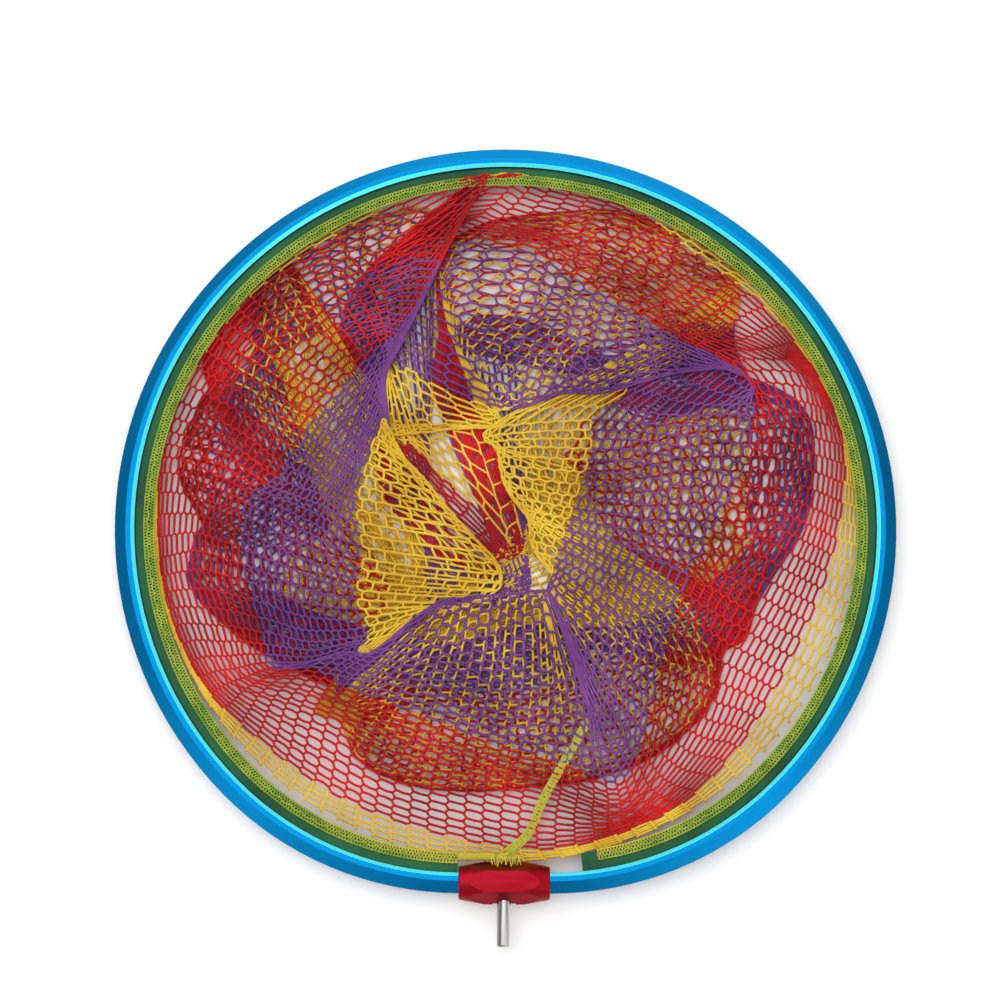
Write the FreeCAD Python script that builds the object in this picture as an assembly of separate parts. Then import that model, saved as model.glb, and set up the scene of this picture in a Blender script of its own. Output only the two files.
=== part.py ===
import FreeCAD
import Part
import math
import os

# Landing net head: a round hoop with a groove inside, a barrel connector with a stud,
# and a knitted bag that lies folded inside the hoop. Millimetres.
# The origin is where the stud leaves the connector. The stud points along -Y,
# the hoop lies in the XY plane on the +Y side, and +Z is up.

# Hoop: a main arc, a tighter shoulder each side of the connector, and straight tails.
# The shoulders' centres lie this far below the centre of the main arc.
hoop_radius = 225.0
shoulder_centre_drop = 25.975
rim_tail_gap = 16.0

# Rim section, measured inwards from its outermost edge
rim_height = 6.8
rim_edge_height = 0.8
rim_outer_slope = 6.5
rim_top_flat = 3.0
rim_inner_chamfer = 2.0
rim_chamfer_drop = 1.6
rim_corner_round = 0.35
groove_mouth = 1.8
groove_lip = 1.1
groove_bore = 3.6

# Connector: a six-sided bar turned down to a cone at each end
connector_length = 51.0
connector_straight = 22.0
connector_across_flats = 20.6
connector_end_diameter = 18.7
connector_edge_break = 0.6
rim_fit = 0.15

# Stud and the screws that hold it and the rim
stud_diameter = 8.0
stud_free_length = 24.0
stud_chamfer = 0.8
stud_thread_diameter = 7.4
stud_thread_depth = 13.0
thread_fit = 0.03
seat_diameter = 13.0
seat_depth = 0.6
screw_diameter = 4.0
screw_socket = 2.0
screw_socket_depth = 1.6
screw_recess = 0.8
rim_screw_inset = 9.5

# Keeper strip: a bead in the groove and a flap towards the net
bead_play = 0.1
strip_web = 1.2
strip_flap_length = 10.4
strip_tip_round = 0.3
strip_start_x = 44.0
strip_stop_gap = 0.6

# Edge tape, its binding at the joint, and the sewing
tape_width = 6.4
tape_thickness = 1.5
tape_overlap = 5.4
tape_edge_round = 0.6
tape_start_x = 52.0
thread_diameter = 0.6
binding_clearance = 0.3
binding_height = 3.4
binding_round = 1.0
tail_start_x = -5.0
tail_length = 13.0
tail_height = 4.7
tail_round = 1.5

# Net bag: one knitted tube in coloured bands, folded in three layers on the floor
net_thickness = 1.2
layer_pitch = 2.1
rim_band_width = 24.0
rim_band_foot = 3.0
upper_boundary = (-8.0, 3.0, 121.0, 116.0)
inner_boundary = (-17.0, 5.0, 88.0, 68.0)
valley_edge = (-23.0, 6.0, 62.0, 30.0)
valley_turn = -45.0
outer_fold_inset = 70.0
lower_red_width = 20.0
bottom_radius = 60.0
bottom_direction = math.radians(39.3)
lower_purple_narrowest = 4.0
fold_round = 0.5
gather_radius = 7.0
gather_wire = 0.6

# Seam tape along the bag's side, from the joint of the edge tape inwards
seam_width = 7.0
seam_thickness = 1.0
seam_top_x = 1.5
seam_foot_x = 12.0
seam_bends = ((22.0, 59.0), (36.0, 84.0), (53.0, 113.0))
seam_thread_width = 0.8
seam_thread_height = 0.4

# Sizes that follow from the ones above
rim_width = rim_outer_slope + rim_top_flat + rim_inner_chamfer
rim_mid = rim_width / 2
tail_half = connector_length / 2
shoulder_radius = hoop_radius - math.hypot(shoulder_centre_drop, tail_half)
shoulder_angle = math.atan2(tail_half, shoulder_centre_drop)
connector_across_corners = connector_across_flats / math.cos(math.pi / 6)
connector_y = connector_across_corners / 2 - seat_depth
hoop_y = connector_y - rim_mid + shoulder_radius + shoulder_centre_drop
shoulder_y = hoop_y - shoulder_centre_drop
floor_z = -connector_across_flats / 2
groove_centre = rim_width - groove_lip - groove_bore / 2
strip_inner = rim_width + strip_flap_length
tape_outer = strip_inner - tape_overlap
tape_inner = tape_outer + tape_width
net_start = strip_inner - tape_overlap / 2
net_start_z = -strip_web / 2 - net_thickness
bottom_z = floor_z
middle_z = bottom_z + layer_pitch
top_z = middle_z + layer_pitch
bottom_reach = (hoop_radius - outer_fold_inset - lower_red_width - lower_purple_narrowest
                - bottom_radius)
bottom_centre = (-bottom_reach * math.sin(bottom_direction),
                 -bottom_reach * math.cos(bottom_direction))

Z = FreeCAD.Vector(0, 0, 1)


def vec(x, y, z=0.0):
    return FreeCAD.Vector(x, y, z)


def rounded_wire(corners):
    """Closed wire through (u, z, radius) corners, each turned with an arc of its radius."""
    count = len(corners)
    stops = []
    for i, (u, z, radius) in enumerate(corners):
        here = vec(u, 0, z)
        before = vec(corners[i - 1][0], 0, corners[i - 1][1])
        after = vec(corners[(i + 1) % count][0], 0, corners[(i + 1) % count][1])
        back = (before - here).normalize()
        ahead = (after - here).normalize()
        half_angle = back.getAngle(ahead) / 2
        if radius <= 0:
            stops.append((here, None, here))
            continue
        reach = radius / math.tan(half_angle)
        middle = (back + ahead).normalize()
        crest = here + middle * (radius / math.sin(half_angle) - radius)
        stops.append((here + back * reach, crest, here + ahead * reach))
    edges = []
    for i, (start, crest, end) in enumerate(stops):
        if crest is not None:
            edges.append(Part.Arc(start, crest, end).toShape())
        follow = stops[(i + 1) % count][0]
        if end.distanceToPoint(follow) > 1e-6:
            edges.append(Part.LineSegment(end, follow).toShape())
    return Part.Wire(edges)


def section_face(corners):
    """Flat section, with u along X and its height along Z."""
    return Part.Face(rounded_wire(corners))


def round_face(u, radius):
    circle = Part.Circle(vec(u, 0), vec(0, 1), radius)
    return Part.Face(Part.Wire(circle.toShape()))


def arc_piece(section, centre_x, centre_y, radius, start, sweep):
    """Section turned about a vertical axis. Angles are from -Y, positive towards +X."""
    face = section.mirror(vec(0, 0), vec(1, 0))
    face.translate(vec(radius, 0))
    solid = face.revolve(vec(0, 0), Z, math.degrees(sweep))
    solid.rotate(vec(0, 0), Z, math.degrees(start) - 90)
    solid.translate(vec(centre_x, centre_y))
    return solid


def straight_piece(section, x_low, x_high):
    """Section pushed along the straight tails, between two places on X."""
    face = section.copy()
    face.rotate(vec(0, 0), Z, 90)
    face.translate(vec(x_low, rim_y(0.0)))
    return face.extrude(vec(x_high - x_low, 0))


def join(pieces):
    solid = pieces[0]
    if len(pieces) > 1:
        solid = solid.multiFuse(pieces[1:])
    return solid.removeSplitter()


def place_on_rim(x, depth):
    """Angle about a shoulder's centre at which a line at this depth reaches this X."""
    return math.asin((abs(x) - tail_half) / (shoulder_radius - depth))


def along_rim(section, depth, start_x, stop_x):
    """Section carried once around the hoop, from start_x at the right to stop_x at the left."""
    pieces = []
    right_from = 0.0
    if start_x < tail_half:
        pieces.append(straight_piece(section, start_x, tail_half))
    else:
        right_from = place_on_rim(start_x, depth)
    pieces.append(arc_piece(section, tail_half, shoulder_y, shoulder_radius,
                            right_from, shoulder_angle - right_from))
    pieces.append(arc_piece(section, 0.0, hoop_y, hoop_radius,
                            shoulder_angle, 2 * math.pi - 2 * shoulder_angle))
    left_from = 0.0
    if stop_x > -tail_half:
        pieces.append(straight_piece(section, -tail_half, stop_x))
    else:
        left_from = place_on_rim(stop_x, depth)
    pieces.append(arc_piece(section, -tail_half, shoulder_y, shoulder_radius,
                            -shoulder_angle, shoulder_angle - left_from))
    return join(pieces)


def ring_along_rim(section):
    """Section carried all the way round, closed across the connector."""
    pieces = [straight_piece(section, -tail_half, tail_half)]
    for side in (1, -1):
        start = 0.0 if side > 0 else -shoulder_angle
        pieces.append(arc_piece(section, side * tail_half, shoulder_y, shoulder_radius,
                                start, shoulder_angle))
    pieces.append(arc_piece(section, 0.0, hoop_y, hoop_radius,
                            shoulder_angle, 2 * math.pi - 2 * shoulder_angle))
    return join(pieces)


def bar(radius, start, direction, length):
    return Part.makeCylinder(radius, length, start, direction)


def rim_outline(grow=0.0):
    """Outer corners of the rim section, grown by a clearance for the pocket that holds it."""
    top = rim_height / 2 + grow
    edge = rim_edge_height / 2 + grow / 2
    flat_end = rim_outer_slope + rim_top_flat
    inner = rim_width + grow
    inner_z = rim_height / 2 - rim_chamfer_drop + grow / 2
    rounded = rim_corner_round
    half = [(-grow, edge, rounded), (rim_outer_slope, top, rounded),
            (flat_end, top, rounded), (inner, inner_z, rounded)]
    return half + [(u, -z, r) for u, z, r in reversed(half)]


def rim_section():
    """Rim outline with the mouth of the groove cut into its inner face."""
    inner_z = rim_height / 2 - rim_chamfer_drop
    rounded = rim_corner_round
    upper = [(0.0, rim_edge_height / 2, rounded), (rim_outer_slope, rim_height / 2, rounded),
             (rim_outer_slope + rim_top_flat, rim_height / 2, rounded),
             (rim_width, inner_z, rounded), (rim_width, groove_mouth / 2, 0.0),
             (groove_centre, groove_mouth / 2, 0.0)]
    face = section_face(upper + [(u, -z, r) for u, z, r in reversed(upper)])
    return face.cut(round_face(groove_centre, groove_bore / 2)).Faces[0]


def hoop_rim():
    return along_rim(rim_section(), rim_mid, rim_tail_gap / 2, -rim_tail_gap / 2)


def connector_blank():
    """Six-sided bar with flats above and below, inside a barrel with coned ends."""
    corner = connector_across_corners / 2
    points = []
    for k in range(7):
        angle = k * math.pi / 3
        points.append(vec(-connector_length / 2, connector_y + corner * math.cos(angle),
                          corner * math.sin(angle)))
    prism = Part.Face(Part.makePolygon(points)).extrude(vec(connector_length, 0))
    half = connector_length / 2
    straight = connector_straight / 2
    end = connector_end_diameter / 2
    profile = [vec(-half, 0), vec(-half, end - connector_edge_break),
               vec(-half + connector_edge_break, end), vec(-straight, corner),
               vec(straight, corner), vec(half - connector_edge_break, end),
               vec(half, end - connector_edge_break), vec(half, 0), vec(-half, 0)]
    barrel = Part.Face(Part.makePolygon(profile)).revolve(vec(0, 0), vec(1, 0), 360)
    barrel.translate(vec(0, connector_y))
    return prism.common(barrel)


def screw_bore(x, top, radius):
    return bar(radius, vec(x, connector_y, floor_z - 1), Z, top - floor_z + 1)


def rim_screw_x():
    return connector_length / 2 - rim_screw_inset


def connector_barrel():
    body = connector_blank()
    half = connector_length / 2
    pocket = straight_piece(section_face(rim_outline(rim_fit)), -half - 1, half + 1)
    stud_radius = stud_thread_diameter / 2 + thread_fit
    stud_bore = bar(stud_radius, vec(0, -1), vec(0, 1), stud_thread_depth + 1)
    seat = bar(seat_diameter / 2, vec(0, -seat_depth - 1), vec(0, 1), seat_depth + 1)
    screw_radius = screw_diameter / 2 + thread_fit
    cuts = [pocket, stud_bore, seat, screw_bore(0, -stud_thread_diameter / 2, screw_radius)]
    for side in (1, -1):
        cuts.append(screw_bore(side * rim_screw_x(), 0.0, screw_radius))
    return body.cut(cuts)


def handle_stud():
    """Plain free end with a chamfered tip, and a threaded shank inside the connector."""
    free = stud_diameter / 2
    shank = stud_thread_diameter / 2
    tip = -stud_free_length
    profile = [vec(0, tip), vec(free - stud_chamfer, tip), vec(free, tip + stud_chamfer),
               vec(free, 0), vec(shank, 0), vec(shank, stud_thread_depth - stud_chamfer),
               vec(shank - stud_chamfer, stud_thread_depth), vec(0, stud_thread_depth),
               vec(0, tip)]
    return Part.Face(Part.makePolygon(profile)).revolve(vec(0, 0), vec(0, 1), 360)


def grub_screw(x, y, top):
    """Headless screw from just inside the lower flat up to what it clamps, with a hex socket."""
    low = floor_z + screw_recess
    screw = bar(screw_diameter / 2, vec(x, y, low), Z, top - low)
    socket_corners = []
    for k in range(7):
        angle = k * math.pi / 3
        socket_corners.append(vec(x + screw_socket / 2 / math.cos(math.pi / 6) * math.cos(angle),
                                  y + screw_socket / 2 / math.cos(math.pi / 6) * math.sin(angle),
                                  low - 1))
    socket = Part.Face(Part.makePolygon(socket_corners)).extrude(vec(0, 0, screw_socket_depth + 1))
    return screw.cut(socket)


def stud_lock_screw():
    screw = grub_screw(0.0, connector_y, 0.0)
    shank = bar(stud_thread_diameter / 2, vec(0, -1), vec(0, 1), stud_thread_depth + 2)
    return screw.cut(shank)


def rim_clamp_screws():
    top = -rim_height / 2
    screws = [grub_screw(side * rim_screw_x(), connector_y, top) for side in (1, -1)]
    return Part.makeCompound(screws)


def strip_section():
    """Round bead for the groove, with a web through its mouth that ends in a flat flap."""
    half = strip_web / 2
    flap = section_face([(groove_centre, half, 0.0), (strip_inner, half, strip_tip_round),
                         (strip_inner, -half, strip_tip_round), (groove_centre, -half, 0.0)])
    bead = round_face(groove_centre, groove_bore / 2 - bead_play)
    return flap.fuse(bead).removeSplitter().Faces[0]


def keeper_strip():
    stop_x = -connector_length / 2 - strip_stop_gap
    return along_rim(strip_section(), rim_width, strip_start_x, stop_x)


def tape_section():
    low = strip_web / 2
    high = low + tape_thickness
    return section_face([(tape_outer, low, 0.0), (tape_outer, high, tape_edge_round),
                         (tape_inner, high, tape_edge_round), (tape_inner, low, 0.0)])


def edge_tape():
    stop_x = -connector_length / 2 - strip_stop_gap
    return along_rim(tape_section(), tape_inner, tape_start_x, stop_x)


def tape_stitching():
    """Sewing thread that runs along the middle of the tape."""
    low = strip_web / 2 + tape_thickness
    middle = (tape_outer + strip_inner) / 2
    half = thread_diameter / 2
    top = low + thread_diameter
    thread = section_face([(middle - half, low, 0.0), (middle - half, top, half / 2),
                           (middle + half, top, half / 2), (middle + half, low, 0.0)])
    stop_x = -connector_length / 2 - strip_stop_gap
    return along_rim(thread, middle, tape_start_x, stop_x - 1)


def rim_y(depth):
    """Y of a line that runs beside the straight tails at this depth from the outer edge."""
    return connector_y - rim_mid + depth


def connector_back():
    return connector_y + connector_across_corners / 2


def joint_block(x_low, x_high, height):
    """Block between the connector's back and the tape's inner edge, on top of the net."""
    y_low = connector_back() + binding_clearance
    y_high = rim_y(tape_inner)
    low = net_start_z + net_thickness
    return Part.makeBox(x_high - x_low, y_high - y_low, height, vec(x_low, y_low, low))


def edges_along(shape, axis):
    return [e for e in shape.Edges if abs(e.tangentAt(e.FirstParameter).dot(axis)) > 0.99]


def tape_binding():
    """Tape wrapped over the bag's edge behind the connector, where the strip has stopped."""
    start_x = -connector_length / 2 - strip_stop_gap
    wrap = joint_block(start_x, tail_start_x, binding_height)
    return wrap.makeFillet(binding_round, edges_along(wrap, vec(1, 0)))


def tape_tail():
    """Knotted and frayed ends of the tape, beside the end of the binding."""
    knot = joint_block(tail_start_x, tail_start_x + tail_length, tail_height)
    return knot.makeFillet(tail_round, edges_along(knot, Z))


def band_top(y):
    """Height of the rim band's upper side behind the connector, where it slopes down."""
    high_y = rim_y(net_start + rim_band_foot)
    low_y = rim_y(net_start + rim_band_width - rim_band_foot)
    share = min(max((y - high_y) / (low_y - high_y), 0.0), 1.0)
    return (1 - share) * (net_start_z + net_thickness) + share * (top_z + net_thickness)


def seam_line(shift, width, lift, height):
    """Flat band that leaves the joint, goes down the slope and runs over the top layer."""
    tail_back = rim_y(tape_inner)
    slope_end = rim_y(net_start + rim_band_width - rim_band_foot)
    route = [(seam_top_x, tail_back), (seam_foot_x, slope_end)] + list(seam_bends)
    wires = []
    for x, y in route:
        low = band_top(y) + lift
        left = x + shift - width / 2
        right = x + shift + width / 2
        wires.append(Part.makePolygon([vec(left, y, low), vec(right, y, low),
                                       vec(right, y, low + height),
                                       vec(left, y, low + height), vec(left, y, low)]))
    return Part.makeLoft(wires, True, True)


def seam_tape():
    return seam_line(0.0, seam_width, 0.0, seam_thickness)


def seam_stitching():
    """Two rows of sewing along the seam tape."""
    rows = [seam_line(side * seam_width / 4, seam_thread_width, seam_thickness, seam_thread_height)
            for side in (1, -1)]
    return Part.makeCompound(rows)


def ellipse_face(boundary, turn=0.0, grow=0.0):
    """Flat elliptical face at height 0, from its centre in the hoop and two half axes."""
    x, y, major, minor = boundary
    curve = Part.Ellipse(vec(0, 0), major + grow, minor + grow)
    face = Part.Face(Part.Wire(curve.toShape()))
    face.rotate(vec(0, 0), Z, turn)
    face.translate(vec(x, y + hoop_y))
    return face


def inset_face(depth):
    """Face inside the line that follows the hoop at this depth from its outer edge."""
    tail_y = rim_y(depth)
    right = vec(tail_half, tail_y)
    left = vec(-tail_half, tail_y)
    main = hoop_radius - depth
    shoulder = shoulder_radius - depth
    angle = shoulder_angle

    def on_main(a):
        return vec(main * math.sin(a), hoop_y - main * math.cos(a))

    def on_shoulder(side, a):
        return vec(side * (tail_half + shoulder * math.sin(a)), shoulder_y - shoulder * math.cos(a))

    edges = [Part.LineSegment(left, right).toShape(),
             Part.Arc(right, on_shoulder(1, angle / 2), on_main(angle)).toShape(),
             Part.Arc(on_main(angle), on_main(math.pi), on_main(-angle)).toShape(),
             Part.Arc(on_main(-angle), on_shoulder(-1, angle / 2), left).toShape()]
    return Part.Face(Part.Wire(edges))


def layer(outer, inner, low, height=net_thickness):
    """Flat part of the bag between two outlines, at one level of the folded pile."""
    face = outer.cut(inner) if inner is not None else outer
    solid = face.extrude(vec(0, 0, height))
    solid.translate(vec(0, 0, low))
    return solid


def bag_outline():
    return inset_face(net_start + rim_band_width)


def net_yellow_rim_band():
    """Sloping band that hangs from the keeper strip down to the top layer of the pile."""
    drop_to = top_z
    inner = net_start + rim_band_width
    corners = [(net_start, net_start_z, 0.0), (net_start, net_start_z + net_thickness, 0.0),
               (net_start + rim_band_foot, net_start_z + net_thickness, fold_round),
               (inner - rim_band_foot, drop_to + net_thickness, fold_round),
               (inner, drop_to + net_thickness, 0.0), (inner, drop_to, 0.0),
               (inner - rim_band_foot, drop_to, fold_round),
               (net_start + rim_band_foot, net_start_z, fold_round)]
    return ring_along_rim(section_face(corners))


def net_red_upper_band():
    return layer(bag_outline(), ellipse_face(upper_boundary), top_z)


def net_purple_upper_band():
    return layer(ellipse_face(upper_boundary), ellipse_face(inner_boundary), top_z)


def net_yellow_fold_band():
    """Band that turns under at the edge of the valley and comes back below itself."""
    outer = ellipse_face(inner_boundary)
    edge = ellipse_face(valley_edge, valley_turn)
    wall = ellipse_face(valley_edge, valley_turn, net_thickness)
    depth = top_z + net_thickness - middle_z
    pieces = [layer(outer, wall, top_z), layer(outer, wall, middle_z),
              layer(wall, edge, middle_z, depth)]
    return join(pieces)


def outer_fold():
    return inset_face(outer_fold_inset)


def net_red_fold_band():
    """Band of the middle layer that turns under again near the rim, onto the floor."""
    fold = outer_fold()
    wall = inset_face(outer_fold_inset + net_thickness)
    lower_inner = inset_face(outer_fold_inset + lower_red_width)
    depth = middle_z + net_thickness - bottom_z
    pieces = [layer(wall, ellipse_face(inner_boundary), middle_z),
              layer(wall, lower_inner, bottom_z), layer(fold, wall, bottom_z, depth)]
    return join(pieces)


def bottom_disc():
    return ellipse_face((bottom_centre[0], bottom_centre[1], bottom_radius, bottom_radius))


def net_purple_lower_band():
    return layer(inset_face(outer_fold_inset + lower_red_width), bottom_disc(), bottom_z)


def gather_hole(radius):
    return ellipse_face((bottom_centre[0], bottom_centre[1], radius, radius))


def net_yellow_bottom():
    return layer(bottom_disc(), gather_hole(gather_radius - gather_wire), bottom_z)


def bottom_gather_cord():
    """Cord that draws the end of the knitted tube together, lying in the closed end."""
    centre = vec(bottom_centre[0], bottom_centre[1] + hoop_y, bottom_z + gather_wire)
    return Part.makeTorus(gather_radius - 2 * gather_wire, gather_wire, centre, Z)


nodes = {
    "hoop_rim": hoop_rim,
    "connector_barrel": connector_barrel,
    "handle_stud": handle_stud,
    "stud_lock_screw": stud_lock_screw,
    "rim_clamp_screws": rim_clamp_screws,
    "keeper_strip": keeper_strip,
    "edge_tape": edge_tape,
    "tape_stitching": tape_stitching,
    "tape_binding": tape_binding,
    "tape_tail": tape_tail,
    "seam_tape": seam_tape,
    "seam_stitching": seam_stitching,
    "net_yellow_rim_band": net_yellow_rim_band,
    "net_red_upper_band": net_red_upper_band,
    "net_purple_upper_band": net_purple_upper_band,
    "net_yellow_fold_band": net_yellow_fold_band,
    "net_red_fold_band": net_red_fold_band,
    "net_purple_lower_band": net_purple_lower_band,
    "net_yellow_bottom": net_yellow_bottom,
    "bottom_gather_cord": bottom_gather_cord,
}

os.makedirs("parts", exist_ok=True)
for name, make in nodes.items():
    shape = make()
    shape.exportStep("parts/" + name + ".step")
    box = shape.optimalBoundingBox()
    print(name, len(shape.Solids), "solids", round(shape.Volume, 1), "mm3",
          [round(v, 2) for v in (box.XMin, box.XMax, box.YMin, box.YMax, box.ZMin, box.ZMax)])
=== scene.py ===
import math

import bmesh
import bpy
import numpy as np
from mathutils import Matrix, Vector


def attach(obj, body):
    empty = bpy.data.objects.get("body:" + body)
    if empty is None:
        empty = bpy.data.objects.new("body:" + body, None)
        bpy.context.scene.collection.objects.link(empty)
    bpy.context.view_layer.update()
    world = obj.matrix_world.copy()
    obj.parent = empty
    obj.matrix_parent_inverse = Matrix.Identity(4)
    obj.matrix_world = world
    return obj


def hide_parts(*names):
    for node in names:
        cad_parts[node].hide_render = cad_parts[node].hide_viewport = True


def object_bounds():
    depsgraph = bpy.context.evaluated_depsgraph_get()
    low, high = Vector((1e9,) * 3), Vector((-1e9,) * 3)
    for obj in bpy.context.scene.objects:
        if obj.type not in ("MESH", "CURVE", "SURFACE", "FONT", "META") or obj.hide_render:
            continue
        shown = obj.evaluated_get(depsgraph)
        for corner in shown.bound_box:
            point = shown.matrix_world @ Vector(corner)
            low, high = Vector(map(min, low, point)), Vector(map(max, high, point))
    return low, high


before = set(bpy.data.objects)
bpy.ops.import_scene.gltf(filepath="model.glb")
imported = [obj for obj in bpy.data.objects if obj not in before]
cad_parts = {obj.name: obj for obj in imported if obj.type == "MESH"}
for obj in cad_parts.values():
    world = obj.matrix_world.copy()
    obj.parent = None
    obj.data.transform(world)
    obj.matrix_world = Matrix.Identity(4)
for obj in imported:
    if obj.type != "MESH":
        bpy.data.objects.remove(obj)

cadLow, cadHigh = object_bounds()
print("frame loaded")

mm = 0.001
tiny = 1e-9  # keeps a division from failing
weldGap = 1e-7  # metres
scene = bpy.context.scene
scene.view_settings.view_transform = "Standard"


# Camera, fitted to the hoop's outline
view = {
    "distance": 1.6,
    "elevation": 76.86,
    "roll": 0.25,
    "lens": 99.74,
    "sensor": 36.0,
    "clip": (0.05, 20.0),
    "target": (-0.003, 0.2309, 0.0),
    "picture": 1001,
}
tilt = math.radians(view["elevation"])
turn = math.radians(view["roll"])
backAxis = Vector((0, -math.cos(tilt), math.sin(tilt)))
level = Vector((1, 0, 0))
upright = Vector((0, math.sin(tilt), math.cos(tilt)))
rightAxis = level * math.cos(turn) + upright * math.sin(turn)
upAxis = upright * math.cos(turn) - level * math.sin(turn)
eye = Vector(view["target"]) + backAxis * view["distance"]

cameraData = bpy.data.cameras.new("camera")
cameraData.lens = view["lens"]
cameraData.sensor_width = view["sensor"]
cameraData.clip_start, cameraData.clip_end = view["clip"]
camera = bpy.data.objects.new("camera", cameraData)
scene.collection.objects.link(camera)
camera.rotation_mode = "QUATERNION"
camera.location = eye
camera.rotation_quaternion = Matrix((rightAxis, upAxis, backAxis)).transposed().to_quaternion()
scene.camera = camera


# Points in millimetres that the picture shows at pixels x, y, at heights z
def atPixel(x, y, z):
    half = view["picture"] / 2
    scale = view["sensor"] / view["lens"] / view["picture"]
    u, v = (x - half) * scale, (half - y) * scale
    rays = [rightAxis[i] * u + upAxis[i] * v - backAxis[i] for i in range(3)]
    reach = (z * mm - eye.z) / rays[2]
    return np.stack([(eye[i] + rays[i] * reach) / mm for i in range(3)], -1)


# Floor and light
studio = {
    "middle": (0, 0.22, 0),
    "floorSize": 6.0,
    "floorDrop": 0.0001,
    "floorRoughness": 0.9,
    "floorGlow": 0.24,
    "worldStrength": 0.62,
    "greyRadius": 0.217,
    "greyEdge": 0.006,
    "greyFloor": (0.95, 0.925, 0.94),
    "whiteFloor": (0.9, 0.9, 0.9),
    "lamps": [
        # name, place, size, power
        ("topSoftbox", (-0.7, 0.9, 2.2), 3.4, 33.0),
        ("frontSoftbox", (1.1, -1.3, 1.8), 1.6, 2.5),
    ],
}


# Light Path rays that show the white background: camera, glossy and transmission
def seenMask(nodes, links):
    path = nodes.new("ShaderNodeLightPath")
    first = nodes.new("ShaderNodeMath")
    first.operation = "MAXIMUM"
    links.new(path.outputs["Is Camera Ray"], first.inputs[0])
    links.new(path.outputs["Is Glossy Ray"], first.inputs[1])
    second = nodes.new("ShaderNodeMath")
    second.operation = "MAXIMUM"
    links.new(first.outputs[0], second.inputs[0])
    links.new(path.outputs["Is Transmission Ray"], second.inputs[1])
    return second.outputs[0]


# White where it is seen or reflected, softer as a light
def makeWorld():
    world = bpy.data.worlds.new("studioWorld")
    world.use_nodes = True
    nodes, links = world.node_tree.nodes, world.node_tree.links
    shader = nodes["Background"]
    shader.inputs["Color"].default_value = (1, 1, 1, 1)
    mask = seenMask(nodes, links)
    strength = nodes.new("ShaderNodeMapRange")
    strength.inputs["To Min"].default_value = studio["worldStrength"]
    strength.inputs["To Max"].default_value = 1.0
    links.new(mask, strength.inputs["Value"])
    links.new(strength.outputs["Result"], shader.inputs["Strength"])
    scene.world = world


# Colour between two values of a pattern
def colourRange(nodes, links, source, low, high, stops=(0.35, 0.65)):
    ramp = nodes.new("ShaderNodeValToRGB")
    ramp.color_ramp.elements[0].position = stops[0]
    ramp.color_ramp.elements[0].color = (*low, 1)
    ramp.color_ramp.elements[1].position = stops[1]
    ramp.color_ramp.elements[1].color = (*high, 1)
    links.new(source, ramp.inputs["Fac"])
    return ramp.outputs["Color"]


# Sets all stops of a colour ramp
def fillRamp(ramp, stops):
    while len(ramp.elements) < len(stops):
        ramp.elements.new(1.0)
    for element, (at, colour) in zip(ramp.elements, stops):
        element.position = at
        element.color = (*colour, 1)


# One vector operation on a source, with a fixed second value where it needs one
def vectorStep(nodes, links, operation, source, value=None):
    step = nodes.new("ShaderNodeVectorMath")
    step.operation = operation
    links.new(source, step.inputs[0])
    if value is not None:
        step.inputs[1].default_value = value
    return step.outputs[0]


# Distance from an upright axis through a point, in Object coordinates
def roundFrom(nodes, links, centre):
    place = nodes.new("ShaderNodeTexCoord")
    apart = vectorStep(nodes, links, "SUBTRACT", place.outputs["Object"], centre)
    flat = vectorStep(nodes, links, "MULTIPLY", apart, (1, 1, 0))
    size = nodes.new("ShaderNodeVectorMath")
    size.operation = "LENGTH"
    links.new(flat, size.inputs[0])
    return size.outputs["Value"]


# Floor: white and glowing outside the hoop, as in the photograph, plain grey inside it
def makeFloor():
    bpy.ops.mesh.primitive_plane_add(size=studio["floorSize"])
    floor = bpy.context.object
    floor.name = "floor"
    for vertex in floor.data.vertices:
        vertex.co += Vector((*studio["middle"][:2], cadLow.z - studio["floorDrop"]))
    material = bpy.data.materials.new("whiteFloor")
    material.use_nodes = True
    nodes, links = material.node_tree.nodes, material.node_tree.links
    shader = nodes["Principled BSDF"]
    shader.inputs["Roughness"].default_value = studio["floorRoughness"]
    edge = roundFrom(nodes, links, studio["middle"])
    inside = nodes.new("ShaderNodeMapRange")
    inside.inputs["From Min"].default_value = studio["greyRadius"] - studio["greyEdge"]
    inside.inputs["From Max"].default_value = studio["greyRadius"]
    links.new(edge, inside.inputs["Value"])
    shade = colourRange(nodes, links, inside.outputs["Result"], studio["greyFloor"],
                        studio["whiteFloor"], (0.0, 1.0))
    links.new(shade, shader.inputs["Base Color"])
    shader.inputs["Specular IOR Level"].default_value = 0.0
    shader.inputs["Emission Color"].default_value = (1, 1, 1, 1)
    glow = nodes.new("ShaderNodeMapRange")
    glow.inputs["To Max"].default_value = studio["floorGlow"]
    lit = nodes.new("ShaderNodeMath")
    lit.operation = "MULTIPLY"
    links.new(seenMask(nodes, links), lit.inputs[0])
    links.new(inside.outputs["Result"], lit.inputs[1])
    links.new(lit.outputs[0], glow.inputs["Value"])
    links.new(glow.outputs["Result"], shader.inputs["Emission Strength"])
    floor.data.materials.append(material)


# Two soft lamps aimed at the hoop's middle
def makeLamps():
    for name, place, size, power in studio["lamps"]:
        lamp = bpy.data.lights.new(name, "AREA")
        lamp.shape = "DISK"
        lamp.size = size
        lamp.energy = power
        holder = bpy.data.objects.new(name, lamp)
        holder.location = place
        aim = Vector(studio["middle"]) - Vector(place)
        holder.rotation_mode = "QUATERNION"
        holder.rotation_quaternion = aim.to_track_quat("-Z", "Y")
        scene.collection.objects.link(holder)


makeWorld()
makeFloor()
makeLamps()
print("camera, floor and light made")


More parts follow.
